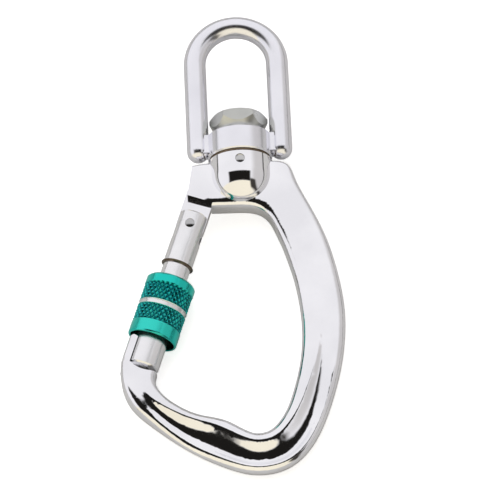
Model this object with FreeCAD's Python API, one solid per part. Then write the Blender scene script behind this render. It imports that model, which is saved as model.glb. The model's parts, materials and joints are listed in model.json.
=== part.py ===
"""Swivel carabiner with a screw-lock gate, lying flat on its back.

Millimetres.  +X right, +Y along the swivel axis from the hook to the bail eye, +Z up, away from the table.
The model is drawn about the point where the swivel axis crosses the middle of the boss.  It is moved at
the end, so that the origin is under the middle of the whole object, at its lowest point.
The gate parts are drawn in the gate's own frame (q across, z thickness, s along the gate from its pivot).
"""
import FreeCAD
import Part
import math
import os

Vec = FreeCAD.Vector

# ---- frame forging -------------------------------------------------------------------------------
HALF_THICK = 4.5            # half of the forging's thickness
RING_POLES = 60             # control points round one cross-section
PATH_POLES = 72             # control points along the forging
FULL_DEPTH = 2.8            # drop at which the groove has its full width
GROOVE_BIRTH = -0.08        # places across the bar, from -1 at its inner edge to 1 at its outer edge:
GROOVE_START = -0.56        # where the groove first opens, its inner lip, its floor and the outer ridge
GROOVE_FLOOR = 0.46
OUTER_RIDGE = 0.74
GROOVE_SCOOP = 0.65         # below 1 the groove falls fast from its inner lip and levels out slowly

# One station per cross-section, from the head's gate side round the hook to the nose:
# outer edge x, y, inner edge x, y, groove drop, outer ridge drop, squareness of the section.
STATIONS = (
    (-15.4, 0.3, -17.9, -13.2, 0.0, 0.0, 6.0),
    (-12.2, 0.8, -13.6, -14.4, 0.0, 0.0, 6.0),
    (-8.0, 0.9, -8.7, -14.6, 0.0, 0.0, 6.0),
    (-3.0, 0.9, -3.4, -14.7, 0.0, 0.0, 6.0),
    (4.0, 0.9, 1.0, -14.8, 0.0, 0.0, 6.0),
    (11.0, 0.9, 4.6, -15.6, 0.0, 0.0, 6.0),
    (15.6, -0.6, 7.2, -17.4, 0.0, 0.0, 5.4),
    (17.6, -5.8, 9.0, -20.0, 0.0, 0.0, 4.6),
    (20.5, -12.3, 10.4, -23.4, 0.05, 0.03, 4.0),
    (24.2, -20.2, 12.1, -28.0, 0.08, 0.05, 3.6),
    (27.3, -28.7, 13.9, -34.0, 0.12, 0.08, 3.4),
    (29.7, -39.0, 15.8, -42.0, 0.16, 0.1, 3.2),
    (31.1, -50.0, 17.0, -51.5, 0.25, 0.15, 3.2),
    (30.8, -60.0, 17.1, -60.0, 0.55, 0.3, 3.2),
    (29.3, -69.5, 16.0, -68.8, 1.1, 0.5, 3.2),
    (26.7, -79.0, 13.8, -77.0, 1.8, 0.7, 2.7),
    (23.3, -88.3, 11.2, -84.0, 2.4, 0.8, 2.7),
    (18.6, -96.8, 8.2, -88.6, 2.8, 0.8, 2.7),
    (12.2, -102.8, 5.6, -90.9, 2.8, 0.8, 2.7),
    (4.9, -105.1, 3.0, -91.7, 2.8, 0.8, 2.7),
    (-2.2, -104.7, 0.2, -91.5, 2.8, 0.9, 2.7),
    (-9.0, -102.3, -3.6, -89.5, 2.8, 1.1, 2.7),
    (-15.5, -99.2, -7.8, -87.0, 2.8, 1.5, 2.7),
    (-21.5, -95.5, -12.6, -85.6, 2.7, 1.8, 2.7),
    (-27.5, -91.0, -18.0, -84.1, 2.3, 1.4, 2.7),
    (-33.6, -85.8, -23.3, -81.1, 1.4, 0.5, 2.7),
    (-38.2, -80.5, -27.3, -78.0, 0.3, 0.1, 3.4),
    (-40.6, -73.6, -29.7, -74.2, 0.0, 0.0, 4.0),
    (-40.5, -65.9, -29.2, -69.9, 0.0, 0.0, 4.5),
)

# ---- swivel boss, bolt and bail ------------------------------------------------------------------
BOSS_R = 10.4
BOSS_TOP = 2.1
BOSS_BALL_Y = -4.0
BOLT_R = 4.0
BOLT_END_Y = -9.0
BOLT_FLATS = 16.4           # width across the flats of the hexagonal head
CROSS_PIN_R = 1.55
CROSS_PIN_Y = -1.0
COLLAR_R = 10.4
COLLAR_BOTTOM = 2.9
COLLAR_TOP = 11.3
HEAD_BOTTOM = 11.62
HEAD_TOP = 18.2
HEAD_SEAT_R = 6.95          # end of the large chamfer on the underside of the hexagonal head
HEAD_CHAMFER_TOP = 15.4
BUSH_OUTER_R = 5.2
LOWER_WASHER_R = 9.7
UPPER_WASHER_R = 6.9
RUNNING_GAP = 0.05          # radial clearance of turning and sliding fits
FACE_GAP = 0.02             # clearance between faces that turn on each other
ROD_R = 3.6                 # bail rod
LEG_X = 13.45
ARCH_Y = 36.8               # centre of the bail's half-circle
LEG_END_Y = 6.2             # centre of the rounded lower end of each leg
WEB_HALF = 2.9              # half thickness of the web that joins each leg to the collar
WEB_BOTTOM = 4.7            # high enough for the web's end to stay inside the leg's round
WEB_TOP = 10.9

# ---- gate, measured along its axis from the pivot ------------------------------------------------
PIVOT = Vec(-17.0, -20.4, 0)
GATE_LEAN = 19.6            # degrees between the gate and the swivel axis
BARREL_R = 4.75
BARREL_TOP = -4.6
STOP_RING_S = 13.4
STOP_RING_THICK = 0.7
STOP_RING_R = 5.25
SHANK_R = 4.45
STOP_RING_SEAT_R = 4.1
SHANK_END = 40.5
THREAD_START = 19.0
THREAD_END = 31.0
THREAD_PITCH = 1.5
THREAD_DEPTH = 0.35
SPIGOT_R = 3.6
FERRULE_R = 5.1
FERRULE_TOP = 33.5
FERRULE_END = 50.15
SLOT_HALF = 1.75            # fork slot for the tang
SLOT_END = 5.2
TANG_HALF = 1.6
TANG_HALF_WIDTH = 4.6
TANG_FLAT = 4.2             # flat end of the tang, which the plunger presses on
STEP_S = -9.1               # face of the head that the tang stands on
STEP_LENGTH = 5.0
STEP_WIDTH = 16.0
STEP_DEPTH = 5.0
RIVET_R = 1.55
SPRING_BORE_R = 2.3
SPRING_BORE_END = 22.0
PLUNGER_TIP = 4.38
PLUNGER_HEAD = 2.2
PLUNGER_R = 2.25
COIL_R = 1.85
COIL_TURNS = 8
LATCH_PIN_S = 45.2
LATCH_PIN_R = 1.0
LATCH_SLOT_TOP = 41.7
LATCH_SLOT_HALF = 1.45

# ---- screw sleeve --------------------------------------------------------------------------------
SLEEVE_TOP = 19.6
SLEEVE_END = 40.5
SLEEVE_R = 8.0
SLEEVE_BORE_END = 28.8
SKIRT_BORE_R = 7.2
BAND_START = 28.95
BAND_WIDTH = 1.5
BAND_R = 7.45
GROOVE_S = 26.6             # inner groove of the friction ring
GROOVE_WIDTH = 1.0
GROOVE_R = 5.2

# ---- nose ----------------------------------------------------------------------------------------
SHOULDER_S = 50.75
NOSE_TIP_S = 41.15
NOSE_CHANNEL_R = 5.35
OPENING_Q = 2.2             # the nose ends here, so that the gate can swing inwards
OPENING_LENGTH = 9.6
TONGUE_HALF = 1.25
TONGUE_TOP = 42.3
TONGUE_LENGTH = 7.7
STRIP_HALF = 3.4            # half thickness of the strip beside the gate's end
STRIP_R = 7.05
DISH_R = 9.0                # hollow of the shoulder under the gate's end
DISH_DEPTH = 1.55
DISH_Q = 0.8
DISH_Z = 2.0

# ---- place of the origin -------------------------------------------------------------------------
ORIGIN = Vec(-4.92, -25.66, -10.4)


def gate_placement():
    """Placement that carries the gate's own frame to the object."""
    lean = math.radians(GATE_LEAN)
    along = Vec(-math.sin(lean), -math.cos(lean), 0)
    across = Vec(math.cos(lean), -math.sin(lean), 0)
    matrix = FreeCAD.Matrix(
        across.x, 0, along.x, PIVOT.x,
        across.y, 0, along.y, PIVOT.y,
        0, 1, 0, 0,
        0, 0, 0, 1)
    return FreeCAD.Placement(matrix)


def at_gate(shape):
    """Return a shape drawn in the gate's frame, moved to its place."""
    placed = shape.copy()
    placed.Placement = gate_placement().multiply(placed.Placement)
    return placed


def revolve(profile, axis):
    """Turn a closed profile of (radius, height) pairs about Z or Y."""
    if axis == "z":
        points = [Vec(radius, 0, height) for radius, height in profile]
        direction = Vec(0, 0, 1)
    else:
        points = [Vec(radius, height, 0) for radius, height in profile]
        direction = Vec(0, 1, 0)
    wire = Part.makePolygon(points + points[:1])
    return Part.Face(wire).revolve(Vec(0, 0, 0), direction, 360)


def cross_pin(radius, half_length, dome):
    """Pin along Z with a shallow dome at each end."""
    ball_r = (radius ** 2 + dome ** 2) / (2 * dome)
    body = Part.makeCylinder(radius, 2 * (half_length + dome), Vec(0, 0, -half_length - dome))
    for side in (1, -1):
        cap = Part.makeSphere(ball_r, Vec(0, 0, side * (half_length + dome - ball_r)))
        rest = Part.makeBox(4 * radius, 4 * radius, 4 * half_length)
        rest.translate(Vec(-2 * radius, -2 * radius, -side * half_length - 2 * half_length))
        body = body.common(rest.fuse(cap))
    return body


def resample(values, count):
    """Smooth curve through evenly numbered values, read at count even steps."""
    curve = Part.BSplineCurve()
    steps = [float(i) for i in range(len(values))]
    curve.interpolate(Points=[Vec(step, value, 0) for step, value in zip(steps, values)], Parameters=steps)
    return [curve.value(steps[-1] * i / (count - 1)).y for i in range(count)]


def ease(share):
    """Smooth step from 0 to 1."""
    share = min(1.0, max(0.0, share))
    return share * share * (3 - 2 * share)


def groove_drop(place, depth, ridge):
    """Drop of the face below the inner ridge, at a place across the bar from -1 (inner) to 1 (outer)."""
    spread = min(1.0, depth / FULL_DEPTH)
    start = GROOVE_BIRTH + (GROOVE_START - GROOVE_BIRTH) * spread
    floor = GROOVE_BIRTH + (GROOVE_FLOOR - GROOVE_BIRTH) * spread
    fall = ease(max(0.0, (place - start) / (floor - start)) ** GROOVE_SCOOP)
    rise = ease((place - floor) / (OUTER_RIDGE - floor))
    return depth * fall - (depth - ridge) * rise


def section_point(angle, half_width, squareness, depth, ridge):
    """One point of the grooved cross-section, as (across, up), at a polar angle."""
    reach = (abs(math.cos(angle) / half_width) ** squareness
             + abs(math.sin(angle) / HALF_THICK) ** squareness) ** (-1 / squareness)
    across = reach * math.cos(angle)
    up = reach * math.sin(angle)
    if depth > 0.02:
        up *= 1 - groove_drop(across / half_width, depth, ridge) / HALF_THICK
    return across, up


def forging_body():
    """Grooved bar bent round the hook, as one smooth surface closed by two flat ends."""
    columns = [resample([station[i] for station in STATIONS], PATH_POLES) for i in range(7)]
    rows = []
    for outer_x, outer_y, inner_x, inner_y, depth, ridge, squareness in zip(*columns):
        middle = Vec((outer_x + inner_x) / 2, (outer_y + inner_y) / 2, 0)
        outward = Vec(outer_x - inner_x, outer_y - inner_y, 0)
        half_width = outward.Length / 2
        outward.normalize()
        row = []
        for i in range(RING_POLES):
            angle = math.pi + 2 * math.pi * i / RING_POLES
            across, up = section_point(angle, half_width, squareness, depth, ridge)
            row.append(middle + outward * across + Vec(0, 0, up))
        rows.append(row)
    surface = Part.BSplineSurface()
    path_knots = [float(i) for i in range(PATH_POLES - 2)]
    path_mults = [4] + [1] * (PATH_POLES - 4) + [4]
    ring_knots = [float(i) for i in range(RING_POLES + 1)]
    ring_mults = [1] * (RING_POLES + 1)
    surface.buildFromPolesMultsKnots(rows, path_mults, ring_mults, path_knots, ring_knots, False, True, 3, 3)
    skin = surface.toShape()
    ends = [edge for edge in skin.Edges if edge.isClosed()]
    caps = [Part.Face(Part.Wire([edge])) for edge in ends]
    shell = Part.Shell([skin] + caps)
    shell.sewShape()
    return Part.Solid(shell)


def nose():
    """Curved strip that reaches up beside the gate's end, in the gate's frame."""
    root = SHOULDER_S + 3.3
    profile = ((NOSE_CHANNEL_R, NOSE_TIP_S + 0.4), (NOSE_CHANNEL_R + 0.35, NOSE_TIP_S),
               (STRIP_R - 0.45, NOSE_TIP_S), (STRIP_R, NOSE_TIP_S + 0.5), (STRIP_R, SHOULDER_S - 1.8),
               (STRIP_R - 0.45, SHOULDER_S + 1.2), (STRIP_R - 1.25, root), (NOSE_CHANNEL_R, root))
    ring = revolve(profile, "z")
    keep = Part.makeBox(2 * STRIP_R, 2 * STRIP_HALF, 20, Vec(-2 * STRIP_R, -STRIP_HALF, NOSE_TIP_S - 1))
    strip = ring.common(keep)
    plate = Part.makeBox(TONGUE_LENGTH, 2 * TONGUE_HALF, 12, Vec(-STRIP_R + 0.95, -TONGUE_HALF, TONGUE_TOP))
    notch = Part.makeCylinder(LATCH_PIN_R + 0.2, 4, Vec(0, -2, LATCH_PIN_S), Vec(0, 1, 0))
    mouth = Part.makeBox(6, 4, 2 * (LATCH_PIN_R + 0.2), Vec(0, -2, LATCH_PIN_S - LATCH_PIN_R - 0.2))
    tongue = plate.cut(notch).cut(mouth)
    return strip.fuse(tongue)


def tang():
    """Flat tongue of the head that the gate's fork straddles, in the gate's frame."""
    outline = ((-TANG_HALF_WIDTH, -12), (-TANG_HALF_WIDTH, 0.8), (-3.9, 2.6), (-2.6, TANG_FLAT),
               (2.6, TANG_FLAT), (3.9, 2.6), (TANG_HALF_WIDTH, 0.8), (TANG_HALF_WIDTH, -12))
    points = [Vec(across, -TANG_HALF, along) for across, along in outline]
    face = Part.Face(Part.makePolygon(points + points[:1]))
    return face.extrude(Vec(0, 2 * TANG_HALF, 0))


def frame():
    """Forged and polished body: hook, head, swivel boss, tang and nose."""
    body = forging_body()
    flap = Part.makeBox(STEP_WIDTH, 2 * STEP_DEPTH, STEP_LENGTH)
    flap.translate(Vec(-TANG_HALF_WIDTH - STEP_WIDTH, -STEP_DEPTH, STEP_S))
    body = body.cut(at_gate(flap))
    for side in (-1, 1):
        near = TANG_HALF if side > 0 else -TANG_HALF - STEP_DEPTH
        step = Part.makeBox(STEP_WIDTH, STEP_DEPTH, STEP_LENGTH)
        step.translate(Vec(TANG_HALF_WIDTH + 0.1 - STEP_WIDTH, near, STEP_S))
        body = body.cut(at_gate(step))
        dish = Part.makeSphere(DISH_R, Vec(DISH_Q, side * DISH_Z, SHOULDER_S + DISH_DEPTH - DISH_R))
        above = Part.makeBox(4 * DISH_R, 4 * DISH_R, 4 * DISH_R)
        above.translate(Vec(-2 * DISH_R, -2 * DISH_R, SHOULDER_S - 0.1 - 4 * DISH_R))
        body = body.cut(at_gate(dish.cut(above)))
    boss = Part.makeCylinder(BOSS_R, BOSS_TOP - BOSS_BALL_Y, Vec(0, BOSS_BALL_Y, 0), Vec(0, 1, 0))
    rims = [edge for edge in boss.Edges if edge.isClosed() and abs(edge.CenterOfMass.y - BOSS_TOP) < 0.01]
    boss = boss.makeChamfer(0.35, rims)
    ball = Part.makeSphere(BOSS_R, Vec(0, BOSS_BALL_Y, 0))
    upper_half = Part.makeBox(4 * BOSS_R, 2 * BOSS_R, 4 * BOSS_R, Vec(-2 * BOSS_R, BOSS_BALL_Y, -2 * BOSS_R))
    body = body.fuse(boss.fuse(ball.cut(upper_half)).removeSplitter())
    body = body.fuse(at_gate(tang())).fuse(at_gate(nose()))
    bolt_bore = Part.makeCylinder(BOLT_R + 0.01, 20, Vec(0, BOLT_END_Y - 0.5, 0), Vec(0, 1, 0))
    pin_bore = Part.makeCylinder(CROSS_PIN_R + 0.01, 40, Vec(0, CROSS_PIN_Y, -20))
    rivet_bore = Part.makeCylinder(RIVET_R + RUNNING_GAP, 20, Vec(PIVOT.x, PIVOT.y, -10))
    body = body.cut(bolt_bore).cut(pin_bore).cut(rivet_bore)
    opening = Part.makeBox(20, 24, OPENING_LENGTH, Vec(OPENING_Q, -12, SHOULDER_S - OPENING_LENGTH))
    return body.cut(at_gate(opening))


def swivel_bolt():
    """Hexagonal bolt that carries the bail and is pinned in the boss."""
    corner_r = BOLT_FLATS / math.sqrt(3)
    corners = [Vec(corner_r * math.sin(math.radians(30 + 60 * i)), HEAD_BOTTOM,
                   corner_r * math.cos(math.radians(30 + 60 * i))) for i in range(6)]
    hexagon = Part.Face(Part.makePolygon(corners + corners[:1])).extrude(Vec(0, HEAD_TOP - HEAD_BOTTOM, 0))
    flat_r = BOLT_FLATS / 2
    turned = revolve(((0, HEAD_BOTTOM), (HEAD_SEAT_R, HEAD_BOTTOM), (corner_r, HEAD_CHAMFER_TOP),
                      (corner_r, HEAD_TOP - 1.4), (flat_r, HEAD_TOP - 0.5), (flat_r - 2.0, HEAD_TOP - 0.12),
                      (flat_r - 4.0, HEAD_TOP), (0, HEAD_TOP)), "y")
    head = hexagon.common(turned)
    shank = revolve(((0, BOLT_END_Y), (BOLT_R - 0.6, BOLT_END_Y), (BOLT_R, BOLT_END_Y + 0.6),
                     (BOLT_R, HEAD_BOTTOM), (0, HEAD_BOTTOM)), "y")
    bore = Part.makeCylinder(CROSS_PIN_R + 0.01, 20, Vec(0, CROSS_PIN_Y, -10))
    return head.fuse(shank).cut(bore).removeSplitter()


def boss_pin():
    pin = cross_pin(CROSS_PIN_R, BOSS_R - 0.4, 0.25)
    pin.translate(Vec(0, CROSS_PIN_Y, 0))
    return pin


def washer(inner_r, outer_r, bottom, top):
    """Flat ring about the swivel axis with broken edges."""
    edge = 0.12
    return revolve(((inner_r, bottom), (outer_r - edge, bottom), (outer_r, bottom + edge),
                    (outer_r, top - edge), (outer_r - edge, top), (inner_r, top)), "y")


def bail_leg(side):
    """Straight leg with a round lower end, turned about its own axis with the seam away from the collar."""
    middle = side * LEG_X
    rim = side * (LEG_X + ROD_R)
    slant = ROD_R * math.sqrt(0.5)
    low = Vec(middle, LEG_END_Y - ROD_R, 0)
    shoulder = Vec(rim, LEG_END_Y, 0)
    rim_top = Vec(rim, ARCH_Y, 0)
    top = Vec(middle, ARCH_Y, 0)
    end = Part.Arc(low, Vec(middle + side * slant, LEG_END_Y - slant, 0), shoulder).toShape()
    outline = Part.Wire([end, Part.makeLine(shoulder, rim_top), Part.makeLine(rim_top, top),
                         Part.makeLine(top, low)])
    return Part.Face(outline).revolve(Vec(middle, 0, 0), Vec(0, 1, 0), 360)


def bail():
    """Eye of the swivel: bent rod and collar in one piece."""
    collar = revolve(((BUSH_OUTER_R, COLLAR_BOTTOM), (COLLAR_R - 0.4, COLLAR_BOTTOM),
                      (COLLAR_R, COLLAR_BOTTOM + 0.4), (COLLAR_R, COLLAR_TOP - 0.7),
                      (COLLAR_R - 0.7, COLLAR_TOP), (BUSH_OUTER_R, COLLAR_TOP)), "y")
    ring = Part.makeTorus(LEG_X, ROD_R, Vec(0, ARCH_Y, 0), Vec(0, 0, 1))
    upper = Part.makeBox(60, 40, 20, Vec(-30, ARCH_Y, -10))
    shape = ring.common(upper)
    for side in (1, -1):
        shape = shape.fuse(bail_leg(side))
    web = Part.makeBox(2 * LEG_X, WEB_TOP - WEB_BOTTOM, 2 * WEB_HALF, Vec(-LEG_X, WEB_BOTTOM, -WEB_HALF))
    bore = Part.makeCylinder(BUSH_OUTER_R, 20, Vec(0, 0, 0), Vec(0, 1, 0))
    return shape.fuse(collar).fuse(web.cut(bore)).removeSplitter()


def gate_barrel():
    """Gate body: forked barrel, threaded shank and spigot."""
    ring_end = STOP_RING_S + STOP_RING_THICK
    profile = [(0, BARREL_TOP), (BARREL_R - 0.5, BARREL_TOP), (BARREL_R, BARREL_TOP + 0.5),
               (BARREL_R, STOP_RING_S), (STOP_RING_SEAT_R, STOP_RING_S), (STOP_RING_SEAT_R, ring_end),
               (SHANK_R, ring_end), (SHANK_R, THREAD_START)]
    for turn in range(int((THREAD_END - THREAD_START) / THREAD_PITCH)):
        start = THREAD_START + turn * THREAD_PITCH
        profile.append((SHANK_R - THREAD_DEPTH, start + THREAD_PITCH / 2))
        profile.append((SHANK_R, start + THREAD_PITCH))
    profile += [(SHANK_R, FERRULE_TOP), (SPIGOT_R, FERRULE_TOP), (SPIGOT_R, SHANK_END), (0, SHANK_END)]
    body = revolve(profile, "z")
    fork = Part.makeBox(20, 2 * SLOT_HALF, SLOT_END + 10, Vec(-10, -SLOT_HALF, -10))
    bore = Part.makeCylinder(SPRING_BORE_R, SPRING_BORE_END, Vec(0, 0, 0))
    pin_bore = Part.makeCylinder(RIVET_R + 0.01, 20, Vec(0, -10, 0), Vec(0, 1, 0))
    return at_gate(body.cut(fork).cut(bore).cut(pin_bore))


def gate_end_ferrule():
    """Latch end of the gate, pressed on the spigot and slotted for the nose's tongue."""
    body = revolve(((SPIGOT_R, FERRULE_TOP), (FERRULE_R - 0.4, FERRULE_TOP), (FERRULE_R, FERRULE_TOP + 0.4),
                    (FERRULE_R, FERRULE_END - 0.5), (FERRULE_R - 0.5, FERRULE_END), (0, FERRULE_END),
                    (0, SHANK_END), (SPIGOT_R, SHANK_END)), "z")
    slot = Part.makeBox(14, 2 * LATCH_SLOT_HALF, 20, Vec(-12, -LATCH_SLOT_HALF, LATCH_SLOT_TOP))
    bore = Part.makeCylinder(LATCH_PIN_R, 8.6, Vec(0, -5, LATCH_PIN_S), Vec(0, 1, 0))
    return at_gate(body.cut(slot).cut(bore))


def latch_pin():
    """Pin across the ferrule's slot that the nose hooks on to."""
    return at_gate(Part.makeCylinder(LATCH_PIN_R, 8.3, Vec(0, -4.7, LATCH_PIN_S), Vec(0, 1, 0)))


def stop_ring():
    """Wire ring that stops the sleeve from screwing off the thread."""
    start = STOP_RING_S
    end = STOP_RING_S + STOP_RING_THICK
    edge = 0.25
    profile = ((STOP_RING_SEAT_R, start), (STOP_RING_R - edge, start), (STOP_RING_R, start + edge),
               (STOP_RING_R, end - edge), (STOP_RING_R - edge, end), (STOP_RING_SEAT_R, end))
    return at_gate(revolve(profile, "z"))


def gate_rivet():
    pin = cross_pin(RIVET_R, BARREL_R - 0.15, 0.3)
    pin.translate(PIVOT)
    return pin


def gate_plunger():
    """Pusher that bears on the tang and closes the gate."""
    head_end = PLUNGER_TIP + PLUNGER_HEAD
    stem_r = 1.2
    stem_end = head_end + 4
    profile = ((0, PLUNGER_TIP), (PLUNGER_R - 0.75, PLUNGER_TIP), (PLUNGER_R, PLUNGER_TIP + 0.5),
               (PLUNGER_R, head_end), (stem_r, head_end), (stem_r, stem_end), (0, stem_end))
    return at_gate(revolve(profile, "z"))


def gate_spring():
    """Closing spring in the barrel, between the plunger's head and the end of its bore."""
    wire_r = 0.3
    start = PLUNGER_TIP + PLUNGER_HEAD + wire_r + FACE_GAP / 2
    length = SPRING_BORE_END - wire_r - start - FACE_GAP / 2
    path = Part.makeHelix(length / COIL_TURNS, length, COIL_R)
    path.translate(Vec(0, 0, start))
    first = path.Edges[0]
    base = first.valueAt(first.FirstParameter)
    heading = first.tangentAt(first.FirstParameter)
    section = Part.Wire([Part.makeCircle(wire_r, base, heading)])
    coil = Part.Wire(path.Edges).makePipeShell([section], True, True)
    return at_gate(coil)


def sleeve():
    """Knurled locking sleeve with an inner thread at its upper end and a wide skirt bore."""
    bore_r = SHANK_R + RUNNING_GAP
    band_end = BAND_START + BAND_WIDTH
    groove_end = GROOVE_S + GROOVE_WIDTH
    profile = ((bore_r, SLEEVE_TOP + 0.3), (bore_r + 0.3, SLEEVE_TOP), (SLEEVE_R - 0.7, SLEEVE_TOP),
               (SLEEVE_R, SLEEVE_TOP + 0.8), (SLEEVE_R, BAND_START), (BAND_R, BAND_START), (BAND_R, band_end),
               (SLEEVE_R, band_end), (SLEEVE_R, SLEEVE_END - 0.4), (SLEEVE_R - 0.4, SLEEVE_END),
               (SKIRT_BORE_R + 0.15, SLEEVE_END), (SKIRT_BORE_R, SLEEVE_END - 0.15),
               (SKIRT_BORE_R, SLEEVE_BORE_END), (bore_r, SLEEVE_BORE_END), (bore_r, groove_end),
               (GROOVE_R, groove_end), (GROOVE_R, GROOVE_S), (bore_r, GROOVE_S))
    return at_gate(revolve(profile, "z"))


def sleeve_friction_ring():
    """Ring in the sleeve's inner groove that rides along the shank and keeps the sleeve where it is left."""
    start = GROOVE_S + FACE_GAP
    end = GROOVE_S + GROOVE_WIDTH - FACE_GAP
    inner_r = SHANK_R + RUNNING_GAP
    outer_r = GROOVE_R - RUNNING_GAP
    return at_gate(revolve(((inner_r, start), (outer_r, start), (outer_r, end), (inner_r, end)), "z"))


def main():
    bolt_hole_r = BOLT_R + RUNNING_GAP
    parts = {
        "frame": frame(),
        "swivel_bolt": swivel_bolt(),
        "boss_pin": boss_pin(),
        "lower_thrust_washer": washer(bolt_hole_r, LOWER_WASHER_R,
                                      BOSS_TOP + FACE_GAP, COLLAR_BOTTOM - FACE_GAP),
        "upper_thrust_washer": washer(bolt_hole_r, UPPER_WASHER_R,
                                      COLLAR_TOP + FACE_GAP, HEAD_BOTTOM - FACE_GAP),
        "swivel_bush": washer(bolt_hole_r, BUSH_OUTER_R, COLLAR_BOTTOM, COLLAR_TOP),
        "bail": bail(),
        "gate_rivet": gate_rivet(),
        "gate_barrel": gate_barrel(),
        "gate_end_ferrule": gate_end_ferrule(),
        "latch_pin": latch_pin(),
        "stop_ring": stop_ring(),
        "gate_plunger": gate_plunger(),
        "gate_spring": gate_spring(),
        "sleeve": sleeve(),
        "sleeve_friction_ring": sleeve_friction_ring(),
    }
    os.makedirs("parts", exist_ok=True)
    total = Part.makeCompound(list(parts.values())).BoundBox
    print("box", total)
    for name, shape in parts.items():
        moved = shape.copy()
        moved.translate(Vec(0, 0, 0) - ORIGIN)
        print(name, moved.isValid(), moved.ShapeType, len(moved.Solids), round(moved.Volume, 2))
        moved.exportStep("parts/" + name + ".step")


main()
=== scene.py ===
"""Looks of the swivel screw-gate carabiner.

Polished metal, a teal knurled sleeve, a pale floor and soft studio light.
"""

import json
import math

import bpy
import numpy as np
from mathutils import Matrix, Vector


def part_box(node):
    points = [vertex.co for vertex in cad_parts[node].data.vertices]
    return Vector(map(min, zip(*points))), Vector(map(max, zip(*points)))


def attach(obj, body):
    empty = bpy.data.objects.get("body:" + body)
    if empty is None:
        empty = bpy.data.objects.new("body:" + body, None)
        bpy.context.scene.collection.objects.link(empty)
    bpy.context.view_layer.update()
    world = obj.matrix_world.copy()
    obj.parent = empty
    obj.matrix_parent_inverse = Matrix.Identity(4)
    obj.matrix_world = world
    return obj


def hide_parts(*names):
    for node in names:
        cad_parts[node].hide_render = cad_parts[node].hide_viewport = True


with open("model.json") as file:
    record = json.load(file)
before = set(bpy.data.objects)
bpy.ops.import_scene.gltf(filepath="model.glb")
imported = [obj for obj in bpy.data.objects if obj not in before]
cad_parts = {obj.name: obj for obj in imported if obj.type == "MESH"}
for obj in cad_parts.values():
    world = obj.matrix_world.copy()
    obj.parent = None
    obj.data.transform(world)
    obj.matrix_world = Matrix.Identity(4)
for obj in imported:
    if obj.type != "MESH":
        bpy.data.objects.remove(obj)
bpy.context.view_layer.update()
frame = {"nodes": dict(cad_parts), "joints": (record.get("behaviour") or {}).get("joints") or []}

# ---- places read from the frame ------------------------------------------------------------------
JOINTS = {joint["name"]: joint for joint in frame["joints"]}
SWIVEL_RISE = 0.007         # from the middle of the boss up to the swivel joint
SWIVEL = Vector(JOINTS["bail_swivel"]["pos_m"]) - Vector((0, SWIVEL_RISE, 0))
PIVOT = Vector(JOINTS["gate_swing"]["pos_m"])
ALONG = Vector(JOINTS["sleeve_turn"]["axis"]).normalized()
ACROSS = Vector((-ALONG.y, ALONG.x, 0.0))
UP = Vector((0.0, 0.0, 1.0))

MM = 0.001

# ---- sleeve, measured along the gate from its pivot, in millimetres ------------------------------
SLEEVE_TOP = 19.6
SLEEVE_LENGTH = 20.9
SLEEVE_R = 8.0
BORE_R = 4.5
BORE_END = 9.2
SKIRT_BORE_R = 7.2
KNURL_BANDS = ((3.2, 9.3), (10.9, 16.6))
BAND = (9.35, 10.85)
BAND_R = 7.45
KNURL_DEPTH = 0.55
KNURL_COUNT = 30
KNURL_SLOPE = 0.47          # diamonds per millimetre along the sleeve
KNURL_FADE = 0.25           # run-out of the grooves at the edge of a band
SLEEVE_SEGMENTS = 450       # a whole number for each diamond
SKIN_STEP = 0.16            # longest step between rings of points, outside and inside
BORE_STEP = 1.5
SHARP_ANGLE = 28            # degrees
# painted shade laid into the bottom of the knurl grooves
GROOVE_SHADE_COLOUR = (0.0, 0.13, 0.17)

# ---- camera --------------------------------------------------------------------------------------
CAMERA_ELEVATION = 66.0
CAMERA_DISTANCE = 1.3
CAMERA_ROLL = -2.6
CAMERA_LENS = 289.8
SENSOR_WIDTH = 36.0
CLIP_END = 20.0
AIM = (0.00307, -0.02649)   # from the middle of the boss to the middle of the view, across and up it

# ---- floor and light -----------------------------------------------------------------------------
FLOOR_HALF = 1.2
BOSS_CONTACT = 0.008        # the table is level with the boss's underside this far towards the hook
HOOK_CONTACT = 0.004        # and at HOOK_HEIGHT this far in from the hook's end
HOOK_HEIGHT = 0.0055
FLOOR_GAP = 0.0001
FLOOR_ROUGHNESS = 0.9
FLOOR_TONES = (("Base Color", 0.66, 0.93), ("Emission Strength", 0.0, 0.62))   # in reflections, to the camera
TENT = (0.915, 0.905, 0.93)
CREAM = (1.0, 0.93, 0.76)
RIGHT_SIDE = (0.62, 0.60, 0.60)
OPENING = (0.012, 0.011, 0.010)
ARM = (0.05, 0.045, 0.04)
HORIZON = (0.08, 0.08, 0.08)
TO_CAMERA = (1.0, 1.0, 1.0)
SUN_STRENGTH = 0.7
SUN_ANGLE = 50              # degrees across
SUN_HEADING = (0.35, -0.25, -1.0)

# ---- finish --------------------------------------------------------------------------------------
TONE_SCALE = 60.0           # slow changes of colour
PATCH_SCALE = 140.0         # patches of different roughness
RELIEF = 0.00002            # height of the polishing marks


# ---- materials -----------------------------------------------------------------------------------
def new_material(name):
    """Empty node material with one Principled shader."""
    material = bpy.data.materials.new(name)
    material.use_nodes = True
    nodes = material.node_tree.nodes
    nodes.clear()
    output = nodes.new("ShaderNodeOutputMaterial")
    shader = nodes.new("ShaderNodeBsdfPrincipled")
    material.node_tree.links.new(shader.outputs["BSDF"], output.inputs["Surface"])
    return material, shader


def noise(tree, scale, detail, stretch=(1, 1, 1)):
    """Noise in the object's own coordinates, stretched along its axes."""
    place = tree.nodes.new("ShaderNodeTexCoord")
    mapping = tree.nodes.new("ShaderNodeMapping")
    mapping.inputs["Scale"].default_value = stretch
    texture = tree.nodes.new("ShaderNodeTexNoise")
    texture.inputs["Scale"].default_value = scale
    texture.inputs["Detail"].default_value = detail
    tree.links.new(place.outputs["Object"], mapping.inputs["Vector"])
    tree.links.new(mapping.outputs["Vector"], texture.inputs["Vector"])
    return texture


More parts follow.
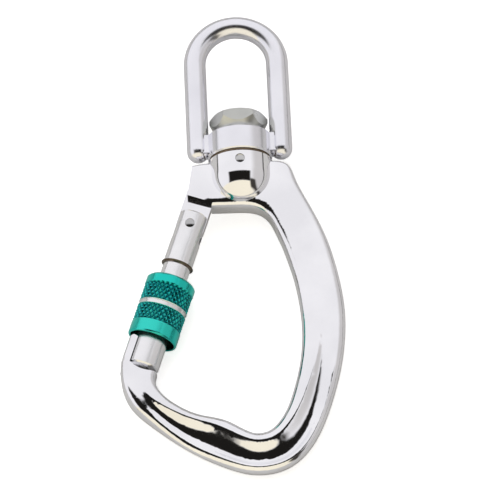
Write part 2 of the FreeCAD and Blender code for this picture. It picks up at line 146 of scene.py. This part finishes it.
def ramp(tree, source, low, high, stops=(0.35, 0.65)):
    """Two-colour ramp driven by a texture."""
    node = tree.nodes.new("ShaderNodeValToRGB")
    node.color_ramp.elements[0].position = stops[0]
    node.color_ramp.elements[1].position = stops[1]
    node.color_ramp.elements[0].color = (*low, 1)
    node.color_ramp.elements[1].color = (*high, 1)
    tree.links.new(source.outputs["Fac"], node.inputs["Fac"])
    return node


def metal(name, dark, light, rough, scratch=0.0, stretch=(1, 1, 1), bump=0.0, scale=900.0):
    """Metal with slow colour variation, patchy roughness and fine polishing marks."""
    material, shader = new_material(name)
    tree = material.node_tree
    shader.inputs["Metallic"].default_value = 1.0
    tone = ramp(tree, noise(tree, TONE_SCALE, 3.0), dark, light)
    tree.links.new(tone.outputs["Color"], shader.inputs["Base Color"])
    patches = noise(tree, PATCH_SCALE, 6.0)
    marks = noise(tree, scale, 4.0, stretch)
    span = tree.nodes.new("ShaderNodeMapRange")
    span.inputs["From Min"].default_value = 0.3
    span.inputs["From Max"].default_value = 0.7
    span.inputs["To Min"].default_value = rough[0]
    span.inputs["To Max"].default_value = rough[1]
    tree.links.new(patches.outputs["Fac"], span.inputs["Value"])
    blend = tree.nodes.new("ShaderNodeMath")
    blend.operation = "MULTIPLY_ADD"
    blend.inputs[1].default_value = scratch
    tree.links.new(marks.outputs["Fac"], blend.inputs[0])
    tree.links.new(span.outputs["Result"], blend.inputs[2])
    tree.links.new(blend.outputs["Value"], shader.inputs["Roughness"])
    if bump:
        relief = tree.nodes.new("ShaderNodeBump")
        relief.inputs["Strength"].default_value = bump
        relief.inputs["Distance"].default_value = RELIEF
        tree.links.new(marks.outputs["Fac"], relief.inputs["Height"])
        tree.links.new(relief.outputs["Normal"], shader.inputs["Normal"])
    return material


def dress(node, *materials):
    """Give a CAD node's slots new materials."""
    piece = frame["nodes"][node]
    for index, slot in enumerate(piece.material_slots):
        slot.material = materials[min(index, len(materials) - 1)]


POLISHED = metal("polished_aluminium", (0.86, 0.86, 0.88), (0.94, 0.94, 0.955), (0.03, 0.07), 0.03)
BRUSHED = metal("brushed_aluminium", (0.88, 0.88, 0.885), (0.94, 0.94, 0.945), (0.16, 0.24), 0.06)
PLATED = metal("plated_steel", (0.84, 0.84, 0.88), (0.90, 0.90, 0.935), (0.16, 0.24), 0.04)
SATIN = metal("satin_steel", (0.56, 0.57, 0.54), (0.67, 0.68, 0.64), (0.22, 0.34), 0.10, bump=0.2)
PIN_STEEL = metal("pin_steel", (0.50, 0.50, 0.50), (0.62, 0.62, 0.61), (0.12, 0.22), 0.06)
BRONZE = metal("bronze", (0.34, 0.24, 0.14), (0.46, 0.34, 0.20), (0.16, 0.28), 0.08)
OILED = metal("oiled_bronze", (0.09, 0.065, 0.045), (0.20, 0.15, 0.10), (0.14, 0.26), 0.08)
TEAL = metal("teal_anodised", (0.015, 0.60, 0.52), (0.05, 0.71, 0.60), (0.14, 0.22), 0.06, bump=0.15)
BARE = metal("turned_band", (0.80, 0.80, 0.80), (0.90, 0.90, 0.90), (0.14, 0.24), 0.10, bump=0.3)
WIRE = metal("spring_wire", (0.45, 0.45, 0.46), (0.58, 0.58, 0.58), (0.20, 0.35), 0.08)


# ---- sleeve --------------------------------------------------------------------------------------
def triangle_wave(value):
    """0 at whole numbers, 1 half-way between."""
    return 1 - np.abs(2 * (value - np.floor(value)) - 1)


def knurl(turn, height):
    """Depth of the diamond knurl at a place on the sleeve, in millimetres."""
    depth = np.zeros_like(turn)
    for low, high in KNURL_BANDS:
        inside = np.clip(np.minimum(height - low, high - height) / KNURL_FADE, 0, 1)
        first = triangle_wave(turn * KNURL_COUNT + height * KNURL_SLOPE)
        second = triangle_wave(turn * KNURL_COUNT - height * KNURL_SLOPE)
        cut = KNURL_DEPTH * (1 - np.minimum(first, second))
        depth = np.where(inside > 0, inside * cut, depth)
    return depth


def stepped(points, step):
    """Profile points with extra ones, so that no stretch is longer than the step."""
    result = [points[0]]
    for (r0, h0), (r1, h1) in zip(points, points[1:]):
        count = max(1, int(math.ceil(math.hypot(r1 - r0, h1 - h0) / step)))
        result += [(r0 + (r1 - r0) * i / count, h0 + (h1 - h0) * i / count) for i in range(1, count + 1)]
    return result


def sleeve_mesh():
    """Turned sleeve with real knurling, its bare band and its two bores."""
    end = SLEEVE_LENGTH
    outer = [(BORE_R + 0.3, 0.0), (7.15, 0.0), (7.3, 0.05), (7.42, 0.17),
             (SLEEVE_R - 0.12, 0.66), (SLEEVE_R, 0.86), (SLEEVE_R, BAND[0] - 0.12),
             (SLEEVE_R - 0.12, BAND[0]), (BAND_R, BAND[0] + 0.1),
             (BAND_R, BAND[1] - 0.1), (SLEEVE_R - 0.12, BAND[1]), (SLEEVE_R, BAND[1] + 0.12),
             (SLEEVE_R, end - 0.5), (SLEEVE_R - 0.15, end - 0.15), (SLEEVE_R - 0.45, end)]
    inner = [(SKIRT_BORE_R + 0.15, end), (SKIRT_BORE_R, end - 0.15), (SKIRT_BORE_R, BORE_END),
             (BORE_R, BORE_END), (BORE_R, 0.3), (BORE_R + 0.3, 0.0)]
    profile = stepped(outer, SKIN_STEP) + stepped(inner, BORE_STEP)
    profile.pop()
    rows = len(profile)
    radius = np.array([point[0] for point in profile])[:, None]
    height = np.array([point[1] for point in profile])[:, None]
    turn = np.arange(SLEEVE_SEGMENTS)[None, :] / SLEEVE_SEGMENTS
    on_skin = np.abs(radius - SLEEVE_R) < 0.01
    depth = np.where(on_skin, knurl(turn + 0 * height, height + 0 * turn), 0)
    sunk = radius - depth
    angle = 2 * np.pi * turn
    base = np.array(PIVOT) / MM + np.array(ALONG) * SLEEVE_TOP
    points = (base + (sunk * np.cos(angle))[..., None] * np.array(ACROSS)
              + (sunk * np.sin(angle))[..., None] * np.array(UP)
              + (height + 0 * turn)[..., None] * np.array(ALONG))
    skin_rows = len(stepped(outer, SKIN_STEP))
    faces = []
    bands = []
    for row in range(rows):
        below = (row + 1) % rows
        bare = row < skin_rows and BAND[0] - 0.02 <= profile[row][1] < BAND[1] - 0.02
        for column in range(SLEEVE_SEGMENTS):
            right = (column + 1) % SLEEVE_SEGMENTS
            faces.append((row * SLEEVE_SEGMENTS + column, row * SLEEVE_SEGMENTS + right,
                          below * SLEEVE_SEGMENTS + right, below * SLEEVE_SEGMENTS + column))
            bands.append(1 if bare else 0)
    mesh = bpy.data.meshes.new("knurled_sleeve")
    mesh.from_pydata((points.reshape(-1, 3) * MM).tolist(), [], faces)
    mesh.materials.append(TEAL)
    mesh.materials.append(BARE)
    mesh.polygons.foreach_set("material_index", bands)
    mesh.polygons.foreach_set("use_smooth", [True] * len(faces))
    # knurl depth at each point, which the teal material reads to paint shade into the grooves
    groove = mesh.attributes.new("groove", "FLOAT", "POINT")
    groove.data.foreach_set("value", (depth / KNURL_DEPTH).reshape(-1))
    mesh.update()
    mesh.set_sharp_from_angle(angle=math.radians(SHARP_ANGLE))
    return mesh


def make_sleeve():
    piece = bpy.data.objects.new("knurled_sleeve", sleeve_mesh())
    bpy.context.collection.objects.link(piece)
    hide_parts("sleeve")
    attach(piece, "locking_sleeve")


# ---- floor, light and camera ---------------------------------------------------------------------
def make_floor():
    """Pale table, tilted so that it passes just under the boss and the hook's end."""
    low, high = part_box("frame")
    boss_low = Vector((SWIVEL.x, SWIVEL.y - BOSS_CONTACT, 0.0))
    hook_low = Vector((SWIVEL.x, low[1] + HOOK_CONTACT, HOOK_HEIGHT))
    slope = math.atan2(hook_low.z - boss_low.z, boss_low.y - hook_low.y)
    mesh = bpy.data.meshes.new("floor")
    half = FLOOR_HALF
    corners = [(-half, -half, 0), (half, -half, 0), (half, half, 0), (-half, half, 0)]
    mesh.from_pydata(corners, [], [(0, 1, 2, 3)])
    floor = bpy.data.objects.new("floor", mesh)
    bpy.context.collection.objects.link(floor)
    floor.rotation_euler = (-slope, 0, 0)
    floor.location = boss_low - Vector((0, 0, FLOOR_GAP))
    material, shader = new_material("pale_table")
    tree = material.node_tree
    shader.inputs["Roughness"].default_value = FLOOR_ROUGHNESS
    shader.inputs["Emission Color"].default_value = (1, 1, 1, 1)
    seen = tree.nodes.new("ShaderNodeLightPath")
    for socket, unseen, shown in FLOOR_TONES:
        span = tree.nodes.new("ShaderNodeMapRange")
        span.inputs["To Min"].default_value = unseen
        span.inputs["To Max"].default_value = shown
        tree.links.new(seen.outputs["Is Camera Ray"], span.inputs["Value"])
        tree.links.new(span.outputs["Result"], shader.inputs[socket])
    mesh.materials.append(material)


def window(tree, source, low, high, soft):
    """1 where the source lies between low and high, with soft edges."""
    rise = tree.nodes.new("ShaderNodeMapRange")
    rise.interpolation_type = "SMOOTHSTEP"
    rise.inputs["From Min"].default_value = low - soft
    rise.inputs["From Max"].default_value = low + soft
    fall = tree.nodes.new("ShaderNodeMapRange")
    fall.interpolation_type = "SMOOTHSTEP"
    fall.inputs["From Min"].default_value = high + soft
    fall.inputs["From Max"].default_value = high - soft
    tree.links.new(source, rise.inputs["Value"])
    tree.links.new(source, fall.inputs["Value"])
    product = tree.nodes.new("ShaderNodeMath")
    product.operation = "MULTIPLY"
    tree.links.new(rise.outputs["Result"], product.inputs[0])
    tree.links.new(fall.outputs["Result"], product.inputs[1])
    return product.outputs["Value"]


def times(tree, first, second):
    node = tree.nodes.new("ShaderNodeMath")
    node.operation = "MULTIPLY"
    tree.links.new(first, node.inputs[0])
    tree.links.new(second, node.inputs[1])
    return node.outputs["Value"]


def paint(tree, under, colour, share):
    """Lay a colour over what is under it, by a share."""
    node = tree.nodes.new("ShaderNodeMix")
    node.data_type = "RGBA"
    tree.links.new(share, node.inputs["Factor"])
    if isinstance(under, tuple):
        node.inputs["A"].default_value = (*under, 1)
    else:
        tree.links.new(under, node.inputs["A"])
    node.inputs["B"].default_value = (*colour, 1)
    return node.outputs["Result"]


def paint_groove_shade(material, colour):
    """Darken a metal towards the bottom of the knurl with painted shade, as if the grooves lay in shadow."""
    tree = material.node_tree
    shader = next(node for node in tree.nodes if node.type == "BSDF_PRINCIPLED")
    tone = shader.inputs["Base Color"].links[0].from_socket
    depth = tree.nodes.new("ShaderNodeAttribute")
    depth.attribute_name = "groove"
    mixed = paint(tree, tone, colour, depth.outputs["Fac"])
    tree.links.new(mixed, shader.inputs["Base Color"])


def make_world():
    """White studio tent with the camera's dark opening above the object and a darker room at the horizon."""
    world = bpy.data.worlds.new("studio")
    bpy.context.scene.world = world
    world.use_nodes = True
    tree = world.node_tree
    tree.nodes.clear()
    place = tree.nodes.new("ShaderNodeTexCoord")
    split = tree.nodes.new("ShaderNodeSeparateXYZ")
    tree.links.new(place.outputs["Generated"], split.inputs["Vector"])
    x, y, z = split.outputs
    colour = paint(tree, TENT, CREAM, window(tree, y, -1.2, -0.44, 0.04))
    colour = paint(tree, colour, RIGHT_SIDE, window(tree, x, 0.66, 2.0, 0.14))
    opening = times(tree, window(tree, y, -0.44, 0.16, 0.03), window(tree, x, -0.68, 0.56, 0.05))
    opening = times(tree, opening, window(tree, z, 0.3, 2.0, 0.05))
    colour = paint(tree, colour, OPENING, opening)
    arm = times(tree, window(tree, y, -0.72, -0.28, 0.06), window(tree, x, 0.54, 0.80, 0.05))
    colour = paint(tree, colour, ARM, arm)
    colour = paint(tree, colour, HORIZON, window(tree, z, -0.24, 0.05, 0.04))
    seen = tree.nodes.new("ShaderNodeLightPath")
    colour = paint(tree, colour, TO_CAMERA, seen.outputs["Is Camera Ray"])
    background = tree.nodes.new("ShaderNodeBackground")
    background.inputs["Strength"].default_value = 1.0
    output = tree.nodes.new("ShaderNodeOutputWorld")
    tree.links.new(colour, background.inputs["Color"])
    tree.links.new(background.outputs["Background"], output.inputs["Surface"])


def make_lights():
    """Broad soft light from the upper left that whitens the table and lays faint shadows."""
    data = bpy.data.lights.new("tent_light", "SUN")
    data.energy = SUN_STRENGTH
    data.angle = math.radians(SUN_ANGLE)
    lamp = bpy.data.objects.new("tent_light", data)
    bpy.context.collection.objects.link(lamp)
    direction = Vector(SUN_HEADING)
    lamp.rotation_euler = direction.to_track_quat("-Z", "Y").to_euler()
    lamp.visible_glossy = False


def make_camera():
    data = bpy.data.cameras.new("camera")
    data.lens = CAMERA_LENS
    data.sensor_width = SENSOR_WIDTH
    data.clip_end = CLIP_END
    elevation = math.radians(CAMERA_ELEVATION)
    roll = math.radians(CAMERA_ROLL)
    back = Vector((0, -math.cos(elevation), math.sin(elevation)))
    right = Vector((1, 0, 0))
    up = back.cross(right)
    rolled_right = right * math.cos(roll) + up * math.sin(roll)
    position = SWIVEL + back * CAMERA_DISTANCE
    rolled_up = up * math.cos(roll) - right * math.sin(roll)
    aim = SWIVEL + rolled_right * AIM[0] + rolled_up * AIM[1]
    outward = (position - aim).normalized()
    side = (rolled_right - outward * rolled_right.dot(outward)).normalized()
    top = outward.cross(side)
    camera = bpy.data.objects.new("camera", data)
    bpy.context.collection.objects.link(camera)
    turn = Matrix((side, top, outward)).transposed().to_4x4()
    camera.matrix_world = Matrix.Translation(position) @ turn
    bpy.context.scene.camera = camera


# ---- put together --------------------------------------------------------------------------------
dress("frame", POLISHED)
dress("bail", PLATED)
dress("swivel_bolt", SATIN)
dress("gate_barrel", BRUSHED)
dress("gate_end_ferrule", BRUSHED)
for name in ("boss_pin", "gate_rivet", "latch_pin", "gate_plunger"):
    dress(name, PIN_STEEL)
for name in ("upper_thrust_washer", "swivel_bush"):
    dress(name, BRONZE)
for name in ("lower_thrust_washer", "stop_ring"):
    dress(name, OILED)
for name in ("gate_spring", "sleeve_friction_ring"):
    dress(name, WIRE)
# paint shade into the bottom of the teal sleeve's knurl grooves
paint_groove_shade(TEAL, GROOVE_SHADE_COLOUR)
make_sleeve()
make_floor()
make_world()
make_lights()
make_camera()
bpy.context.scene.view_settings.view_transform = "Standard"
